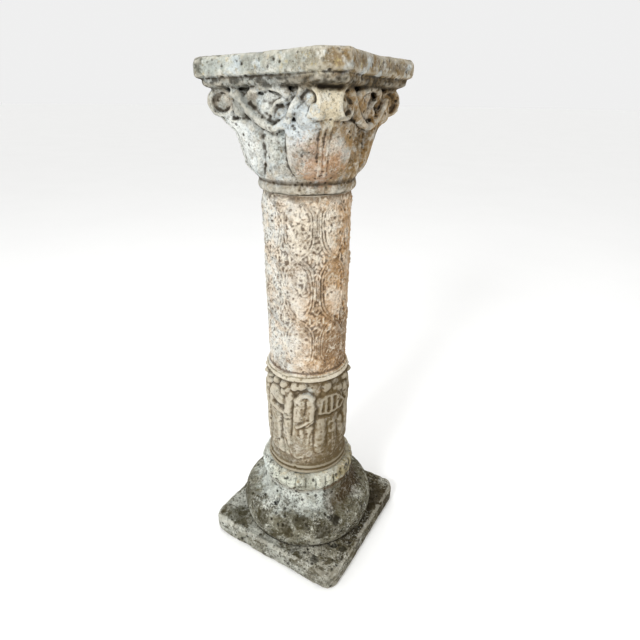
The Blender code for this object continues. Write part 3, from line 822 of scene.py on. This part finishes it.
shaft_mesh = shells("shaft_stone", [shaft_rows()])
weather(shaft_mesh, 23, 0.0006, 0.00046, 0.0014)
mark_hollows(shaft_mesh, 0.00022, 0.0008)
place_piece("shaft_stone", shaft_mesh, shaft_finish(), "shaft")

# THE CAPITAL
# One casting: a round astragal, a bell wrapped in broad leaves, rolled volutes at the four
# corners, a bowed rim and worn relief on each face, and a square slab with hollow sides.

NECK_REACH = 0.0845
ASTRAGAL_REACH = 0.0878
CAPITAL_FOOT = 0.7951
BELL_FOOT = 0.8136
BELL_TALL = 0.1374
BELL_HEAD = BELL_FOOT + BELL_TALL
LIP_REACH = 0.102
SLAB_FOOT = 0.971
SLAB_HALF = 0.142
SLAB_CUT = 0.029
SLAB_ARRIS = 0.006
CAPITAL_HEAD = 1.0
ROLL_BEND = 0.0445
ROLL_LEVEL = 0.9345
SKIN_GRID = 0.00212


def bow_level(across):
    """Height of the bowed rim at a distance from the middle of a face."""
    share = np.minimum(np.abs(across) / 0.056, 1.0)
    return BELL_HEAD - 0.009 - 0.044 * (1.0 - share**1.5)


def bell_rows():
    """Rings of the astragal and the leafy bell."""
    turn = turns(460)
    rows = [polar(NECK_REACH - 0.003, turn, CAPITAL_FOOT)]
    for share in np.linspace(0.04, 0.96, 9):
        bulge = np.sqrt(1.0 - (2.0 * share - 1.0) ** 2)
        reach = NECK_REACH - 0.003 + (ASTRAGAL_REACH - NECK_REACH + 0.003) * bulge
        sag = 0.0012 * np.sin(2.0 * turn + 0.7) + 0.0008 * np.sin(5.0 * turn)
        rows.append(polar(reach, turn, CAPITAL_FOOT + 0.0185 * share + sag * share))
    from_face = np.abs((turn / (np.pi / 2.0) + 0.5) % 1.0 - 0.5) * 90.0
    from_corner = 45.0 - from_face
    aside = np.radians(from_corner)
    for share in np.linspace(0.0, 1.0, 84):
        height = BELL_FOOT + BELL_TALL * share
        core = NECK_REACH + (LIP_REACH - NECK_REACH) * share**0.55
        foot = ease(share / 0.20)
        spread = np.clip((share - 0.2) / 0.45, 0.0, 1.2) ** 1.3
        arch = np.maximum(1.0 - 0.45 * (from_corner / 31.0) ** 2, 0.0)
        brim = 31.5 - 13.0 * np.clip(1.0 - share / 0.34, 0.0, 1.0) ** 2
        edge = 1.0 - 0.82 * ease((from_corner - brim + 3.0) / 4.5)
        leaf = 0.0155 * (foot + 0.75 * spread) * arch * edge
        curl = ease((share - 0.54) / 0.14) * hill(from_corner, 19.0)
        if share > 0.690:
            leaf = leaf * (0.72 - 0.44 * hill(from_corner, 13.0))
        else:
            leaf = leaf + 0.0135 * curl - 0.0022 * curl * math.exp(-(((share - 0.648) / 0.012) ** 2))
        s = aside * (core + leaf)
        rim = np.radians(brim - 1.5) * (core + leaf)
        carved = 0.0040 * hill(np.abs(s) - 0.0044, 0.0032) - 0.0030 * hill(s, 0.0026)
        carved -= 0.0026 * hill(np.abs(s) - 0.0096, 0.0036)
        carved += 0.0024 * hill(s - rim + 0.002, 0.0036) - 0.0030 * hill(s - rim - 0.0045, 0.0036)
        carved += 0.0010 * np.sin(s / 0.0052 + 6.0 * share) * hill(s - 0.026, 0.020)
        leaf += carved * ease(share / 0.12) * (1.0 - ease((share - 0.66) / 0.05))
        across = LIP_REACH * np.sin(np.radians(from_face))
        leaf *= 1.0 - ease((height - bow_level(across)) / 0.010)
        leaf -= 0.0042 * hill(height - bow_level(across) + 0.0095, 0.0050) * ease((share - 0.5) / 0.1)
        if share < 0.50:
            width = 14.5 - 5.5 * (share / 0.47) ** 3
            tongue = 0.0088 * ease(share / 0.12) * hill(from_face, width) ** 0.6
            tongue *= 1.0 - ease((share - 0.43) / 0.06)
            t = np.radians(from_face) * core
            tongue += 0.0022 * hill(t, 0.0032) - 0.0022 * hill(t - 0.0085, 0.0042) * ease(share / 0.1)
            leaf = np.maximum(leaf, tongue)
        rows.append(polar(core + leaf, turn, height))
    rows.append(polar(LIP_REACH, turn, SLAB_FOOT + 0.012))
    return np.stack(rows)


def slab_rows():
    """Rings of the moulding and the slab: a square with hollow sides and cut corners."""
    turn = turns(480)
    lean = (turn + np.pi / 4.0) % (np.pi / 2.0) - np.pi / 4.0

    def outline(half, hollow=0.010):
        side = np.full_like(turn, half)
        for _ in range(8):
            share = np.clip(side * np.tan(lean) / (half - SLAB_CUT), -1.0, 1.0)
            side = half - hollow * (1.0 - share * share)
        cut = (2.0 * half - SLAB_CUT) / math.sqrt(2.0) / np.cos(np.abs(lean) - np.pi / 4.0)
        return np.minimum(side / np.cos(lean), cut)

    rows = []
    moulding = (
        (0.9560, 0.0400), (0.9564, 0.0260), (0.9570, 0.0180), (0.9579, 0.0135),
        (0.9592, 0.0108), (0.9612, 0.0090), (0.9636, 0.0082), (0.9662, 0.0080),
        (0.9684, 0.0086), (0.9697, 0.0104), (0.9703, 0.0106), (0.9712, 0.0040),
        (0.9722, 0.0012),
    )
    for level, inset in moulding:
        rows.append(polar(outline(SLAB_HALF - inset), turn, level))
    for height in np.linspace(0.9740, 0.9930, 11):
        rows.append(polar(outline(SLAB_HALF), turn, height))
    for lean_up in np.radians((30.0, 60.0, 90.0)):
        half = SLAB_HALF - SLAB_ARRIS * (1.0 - np.cos(lean_up))
        height = CAPITAL_HEAD - SLAB_ARRIS + SLAB_ARRIS * np.sin(lean_up)
        rows.append(polar(outline(half), turn, height))
    return np.stack(rows)


def quarter_turned(rows, quarter):
    """The same rings, turned to another side of the pedestal."""
    angle = quarter * np.pi / 2.0
    c, s = round(math.cos(angle)), round(math.sin(angle))
    return rows @ np.array([[c, s, 0.0], [-s, c, 0.0], [0.0, 0.0, 1.0]])


def volute_rows(start, finish, middle, roll):
    """Roll round one corner between two bearings: a spiral disc, a fluted waist, a second disc."""
    lean = turns(56)
    rings = []

    def ring(bend, reach, forward):
        centre = np.array([middle - ROLL_BEND * math.cos(bend), -middle + ROLL_BEND * math.sin(bend), 0.0])
        ahead = np.array([math.sin(bend), math.cos(bend), 0.0])
        out = np.array([math.cos(bend), -math.sin(bend), 0.0])
        flat = centre[None] + np.outer(np.broadcast_to(forward, lean.shape), ahead)
        flat = flat + np.outer(reach * np.cos(lean), out)
        flat[:, 2] = ROLL_LEVEL + reach * np.sin(lean)
        return flat

    def disc(share, hand):
        spiral = np.cos(2.0 * np.pi * share * 1.5 + hand * lean - 0.9)
        rim = 0.0042 * ease((share - 0.70) / 0.09) * (1.0 - ease((share - 0.93) / 0.06))
        dish = -0.0036 * (1.0 - ease((share - 0.66) / 0.10))
        return rim + dish + 0.0040 * hill(share, 0.40) + 0.0016 * spiral * hill(share - 0.46, 0.28)

    shares = np.linspace(0.03, 0.98, 22)
    for share in shares:
        rings.append(ring(start, roll * share, -disc(share, -1.0)))
    for along in np.linspace(0.0, 1.0, 67):
        flutes = 0.5 + 0.5 * math.cos(2.0 * math.pi * 11.0 * along)
        waist = abs(math.sin(math.pi * along))
        reach = roll * (1.0 + 0.10 * waist**2) - 0.0024 * flutes * waist**0.5
        rings.append(ring(start + along * (finish - start), reach, 0.0))
    for share in shares[::-1]:
        rings.append(ring(finish, roll * share, disc(share, 1.0)))
    return np.stack(rings)


def rope_rows(path, thick, sides=12):
    """Round rod along a path; thick is one radius or one for each point."""
    path = np.array(path, dtype=float)
    ahead = np.gradient(path, axis=0)
    ahead /= np.linalg.norm(ahead, axis=1)[:, None]
    out = np.array([0.0, -1.0, 0.0]) - ahead * (ahead @ np.array([0.0, -1.0, 0.0]))[:, None]
    out /= np.linalg.norm(out, axis=1)[:, None]
    up = np.cross(ahead, out)
    lean = turns(sides)[None, :, None]
    thick = np.broadcast_to(thick, (len(path),))[:, None, None]
    return path[:, None] + thick * (out[:, None] * np.cos(lean) + up[:, None] * np.sin(lean))


def smooth_path(knots, count):
    """Even points along a soft curve through a few knots."""
    knots = np.array(knots, dtype=float)
    share = np.linspace(0.0, len(knots) - 1.0, count)
    index = np.clip(share.astype(int), 0, len(knots) - 2)
    part = (share - index)[:, None]
    padded = np.concatenate([2 * knots[:1] - knots[1:2], knots, 2 * knots[-1:] - knots[-2:-1]])
    a, b, c, d = (padded[index + k] for k in range(4))
    bend = (2 * a - 5 * b + 4 * c - d) * part**2 + (3 * b - a - 3 * c + d) * part**3
    return 0.5 * (2 * b + (c - a) * part + bend)


def lump_rows(middle, size):
    """Egg-shaped lump."""
    lean = turns(20)[None, :]
    rise = np.radians(np.linspace(-84.0, 84.0, 13))[:, None]
    return np.array(middle) + polar(np.cos(rise), lean, np.sin(rise)) * np.array(size)


def face_parts():
    """Bowed rim, arch, hook and worn lumps of the face that looks along -Y."""
    parts = []
    rim = [(-0.066, -0.112, 0.951), (-0.054, -0.112, 0.943), (-0.038, -0.110, 0.925), (-0.018, -0.109, 0.910)]
    rim += [(0.000, -0.109, 0.901), (0.013, -0.110, 0.8995), (0.026, -0.112, 0.904), (0.038, -0.114, 0.913)]
    rim += [(0.050, -0.118, 0.928), (0.060, -0.119, 0.941)]
    thick = (0.0085, 0.0080, 0.0066, 0.0060, 0.0050)
    fat = np.interp(np.linspace(0.0, 1.0, 60), np.linspace(0.0, 1.0, 5), thick)
    parts.append(rope_rows(smooth_path(rim, 60), fat))
    arch = [(-0.040, -0.106, 0.930), (-0.037, -0.110, 0.940), (-0.024, -0.114, 0.949)]
    arch += [(-0.004, -0.117, 0.954), (0.016, -0.117, 0.954), (0.032, -0.115, 0.950), (0.043, -0.111, 0.942)]
    parts.append(rope_rows(smooth_path(arch, 40), 0.0056 + 0.0010 * np.sin(np.linspace(0.0, 9.0, 40))))
    hook = [(0.034, -0.108, 0.934), (0.028, -0.113, 0.938), (0.020, -0.114, 0.935), (0.012, -0.113, 0.928)]
    hook += [(0.006, -0.112, 0.919)]
    parts.append(rope_rows(smooth_path(hook, 30), 0.0036, 10))
    for middle, size in (
        ((-0.050, -0.094, 0.938), (0.022, 0.017, 0.020)),
        ((0.050, -0.094, 0.940), (0.020, 0.017, 0.020)),
        ((0.000, -0.091, 0.930), (0.054, 0.0205, 0.031)),
        ((-0.034, -0.098, 0.934), (0.016, 0.013, 0.014)),
        ((-0.020, -0.105, 0.938), (0.012, 0.010, 0.009)),
        ((0.002, -0.106, 0.944), (0.011, 0.009, 0.007)),
        ((-0.006, -0.105, 0.928), (0.009, 0.009, 0.008)),
        ((0.024, -0.103, 0.920), (0.012, 0.010, 0.010)),
        ((0.066, -0.109, 0.919), (0.016, 0.011, 0.018)),
        ((-0.056, -0.104, 0.928), (0.014, 0.012, 0.016)),
    ):
        parts.append(lump_rows(middle, size))
    return parts


def worn_lumps():
    """Broken relief on the nearest corner, where the disc has crumbled into the roll."""
    spots = (
        ((0.0890, -0.1190, 0.9270), (0.009, 0.007, 0.009)),
        ((0.0830, -0.1190, 0.9190), (0.007, 0.008, 0.006)),
        ((0.0930, -0.1150, 0.9180), (0.008, 0.008, 0.006)),
    )
    return [lump_rows(middle, size) for middle, size in spots]


def capital_mesh_made():
    """All parts of the casting grown into one skin."""
    parts = [bell_rows(), slab_rows()] + worn_lumps()
    for quarter in range(4):
        splay, middle, roll = ((5.0, 0.120, 0.0240), (26.0, 0.130, 0.0224))[quarter % 2]
        rows = volute_rows(math.radians(splay), math.radians(90.0 - splay), middle, roll)
        parts.append(quarter_turned(rows, quarter))
        parts.append(quarter_turned(lump_rows((0.086, -0.086, 0.939), (0.024, 0.024, 0.019)), quarter))
        if quarter % 2:
            parts.append(quarter_turned(lump_rows((0.089, -0.089, 0.915), (0.020, 0.020, 0.011)), quarter))
        parts += [quarter_turned(rows, quarter) for rows in face_parts()]
    rough = shells("capital_rough", parts)
    holder = bpy.data.objects.new("capital_rough", rough)
    bpy.context.scene.collection.objects.link(holder)
    grow = holder.modifiers.new("one_skin", "REMESH")
    grow.mode = "VOXEL"
    grow.voxel_size = SKIN_GRID
    grow.use_smooth_shade = True
    whole = holder.evaluated_get(bpy.context.evaluated_depsgraph_get())
    mesh = bpy.data.meshes.new_from_object(whole)
    mesh.name = "capital_stone"
    bpy.data.objects.remove(holder, do_unlink=True)
    bpy.data.meshes.remove(rough)
    return mesh


def capital_finish():
    """Bluish grey bleached stone, tan with painted shade on the right, ochre and grime under the slab,
    painted shade there and in the hollows.
    """
    f = Finish("capital_stone_weathered")
    # Painted shade, with tan stain, on the right side of the capital.
    colour = f.bleached_and_shaded_sides((208, 212, 208), (160, 129, 82), 0.11)
    slab = f.step(f.z, 0.966, 0.974)
    colour = f.coat(
        colour,
        (f.patch(0.035, 2.3, 0.48, 0.62) * 0.55, (190, 200, 204)),
        (f.patch(0.03, 6.3, 0.52, 0.64) * 0.5, (204, 182, 154)),
        # Painted shade, with tan stain, on the right face of the slab.
        (slab * 0.6, f.blend(f.step(f.x, 0.10, 0.13), (168, 171, 158), (132, 115, 84))),
        (slab * f.patch(0.016, 7.9, 0.56, 0.66) * 0.6, (196, 178, 128)),
        (slab * f.patch(0.03, 3.7, 0.54, 0.64) * 0.7, (200, 210, 214)),
        (f.near((0.105, -0.112, 0.936), 0.046) * 0.75, (236, 226, 200)),
        (f.near((0.055, -0.115, 0.912), 0.046) * 0.85, (212, 221, 225)),
        (f.near((0.035, -0.100, 0.868), 0.030) * 0.55, (222, 220, 216)),
        (f.near((0.000, -0.100, 0.875), 0.034) * 0.45, (196, 208, 206)),
        (f.near((-0.070, -0.098, 0.875), 0.058) * 0.80, (240, 242, 238)),
        (f.near((0.082, -0.082, 0.850), 0.050) * 0.50, (206, 172, 140)),
        (f.near((-0.130, -0.130, 0.982), 0.045) * 0.85, (92, 90, 78)),
        (f.step(f.z, 0.817, 0.812) * 0.5, (140, 130, 112)),
        (f.near((0.084, -0.076, 0.835), 0.045) * 0.5, (184, 142, 108)),
        (f.near((-0.098, -0.121, 0.937), 0.030) * 0.40, (140, 137, 124)),
    )
    colour = f.fine(colour, (104, 94, 77), (240, 240, 233), 0.50)
    top = f.step(f.up, 0.5, 0.9)
    # The moulding band under the slab: darkened as painted shade, with patches of grime.
    band = f.step(f.z, 0.949, 0.957) * f.step(f.z, 0.973, 0.966)
    grime_and_shade_under_slab = band * f.patch(0.016, 3.6, 0.42, 0.56, 4.0, 0.7)
    colour = f.coat(
        colour,
        (f.patch(0.0065, 9.1, 0.59, 0.68, 3.0, 0.7) * 0.6, (78, 74, 66)),
        (f.patch(0.010, 4.7, 0.63, 0.70) * 0.5, (132, 112, 66)),
        (f.pits(0.019, 5.9, 0.17) * 0.7, (52, 47, 39)),
        (f.pits(0.007, 3.9, 0.20) * 0.45, (84, 76, 62)),
        (top * f.patch(0.025, 5.1, 0.45, 0.60, 4.0) * 0.7, (84, 80, 62)),
        (f.step(f.z, 0.809, 0.814) * f.step(f.z, 0.821, 0.816) * 0.60, (84, 72, 56)),
        (f.step(f.z, 0.800, 0.796) * 0.60, (84, 72, 56)),
        # Painted shade under the slab, browner on the right, with grime patches.
        (band * 0.50, (122, 119, 106)),
        (band * f.step(f.x, 0.02, 0.08) * 0.6, (104, 86, 56)),
        (grime_and_shade_under_slab * 0.80, (58, 53, 43)),
        (f.near((-0.045, -0.112, 0.934), 0.032) * 0.5, (112, 110, 98)),
        # Painted shade in the hollows, darkest in the deepest cuts, and painted highlights on the crests.
        (f.step(f.hollow, 0.08, 0.72) * 0.80, (72, 62, 48)),
        (f.step(f.hollow, 0.5, 1.0) * 0.6, (36, 31, 25)),
        (f.step(f.hollow, -0.10, -0.8) * 0.45, (232, 226, 210)),
    )
    return f.close(colour, 0.0034)


capital_mesh = capital_mesh_made()
points, _, edges = skin(capital_mesh)
points = relax(points, edges, 1)
lift = ease((points[:, 2] - 0.925) / 0.045)
near = np.clip((points[:, 0] - points[:, 1]) / math.sqrt(2.0) / 0.18, 0.0, 1.1)
left = np.clip((-points[:, 0] - points[:, 1]) / math.sqrt(2.0) / 0.18, 0.0, 1.1)
points[:, 2] += lift * (0.0048 * near**2 - 0.0040 * left**2)
write_points(capital_mesh, points)
weather(capital_mesh, 37, 0.0036, 0.00075, 0.0020)
mark_hollows(capital_mesh, 0.00040, 0.0014)
place_piece("capital_stone", capital_mesh, capital_finish(), "capital")

# THE FLOOR, THE LIGHT AND THE CAMERA
# A pale studio floor that isn't part of the pedestal, a cool key light from the left, a weak warm
# one from the right, one from above behind, and a camera close to a corner that looks down.


def studio_floor():
    below = (0.0, 0.0, -0.0005)
    bpy.ops.mesh.primitive_circle_add(vertices=96, radius=60.0, fill_type="NGON", location=below)
    floor = bpy.context.active_object
    floor.name = "studio_floor"
    f = Finish("studio_floor_pale")
    pale = f.blend(f.cloud(0.6, 1.0), (246, 246, 245), (250, 250, 249))
    f.tree.links.new(pale, f.shader.inputs["Base Color"])
    f.shader.inputs["Roughness"].default_value = 0.9
    f.shader.inputs["Specular IOR Level"].default_value = 0.1
    f.shader.inputs["Emission Color"].default_value = (1.0, 1.0, 1.0, 1.0)
    f.shader.inputs["Emission Strength"].default_value = 0.045
    floor.data.materials.append(f.material)


def lamp(name, place, size, power, colour):
    light = bpy.data.lights.new(name, "AREA")
    light.shape = "DISK"
    light.size = size
    light.energy = power
    light.color = colour
    item = bpy.data.objects.new(name, light)
    item.location = place
    item.rotation_euler = (Vector((0.0, 0.0, 0.5)) - Vector(place)).to_track_quat("-Z", "Y").to_euler()
    bpy.context.scene.collection.objects.link(item)


def around(degrees, reach, height):
    angle = math.radians(degrees)
    return (reach * math.cos(angle), reach * math.sin(angle), height)


studio_floor()
lamp("key_light", around(-88.0, 2.5, 2.2), 0.7, 39.5, (0.97, 0.99, 1.0))
lamp("fill_light", around(-8.0, 2.6, 1.3), 1.6, 3.0, (1.0, 0.92, 0.80))
lamp("top_light", around(150.0, 1.0, 3.0), 1.6, 9.0, (1.0, 1.0, 1.0))
bpy.context.scene.view_settings.view_transform = "Standard"
bpy.context.scene.view_settings.look = "Medium High Contrast"

sky = bpy.data.worlds.new("studio_sky")
sky.use_nodes = True
sky.node_tree.nodes["Background"].inputs["Color"].default_value = (1.0, 1.0, 1.0, 1.0)
sky.node_tree.nodes["Background"].inputs["Strength"].default_value = 0.73
bpy.context.scene.world = sky

LENS_PIXELS = 473.2
IMAGE_PIXELS = 640
CAMERA_REACH = 0.8746
CAMERA_LEVEL = 0.9439
camera_data = bpy.data.cameras.new("photo_camera")
camera_data.sensor_width = 36.0
camera_data.lens = LENS_PIXELS / IMAGE_PIXELS * 36.0
camera_data.clip_start = 0.05
camera = bpy.data.objects.new("photo_camera", camera_data)
azimuth, pitch, roll, yaw = (math.radians(v) for v in (32.5, 25.31, 0.61, 1.68))
camera.location = (CAMERA_REACH * math.sin(azimuth), -CAMERA_REACH * math.cos(azimuth), CAMERA_LEVEL)
ahead = Matrix.Rotation(azimuth - yaw, 3, "Z") @ Vector((0.0, math.cos(pitch), 0.0))
ahead.z = -math.sin(pitch)
facing = ahead.to_track_quat("-Z", "Y").to_matrix() @ Matrix.Rotation(roll, 3, "Z")
camera.rotation_euler = facing.to_euler()
bpy.context.scene.collection.objects.link(camera)
bpy.context.scene.camera = camera
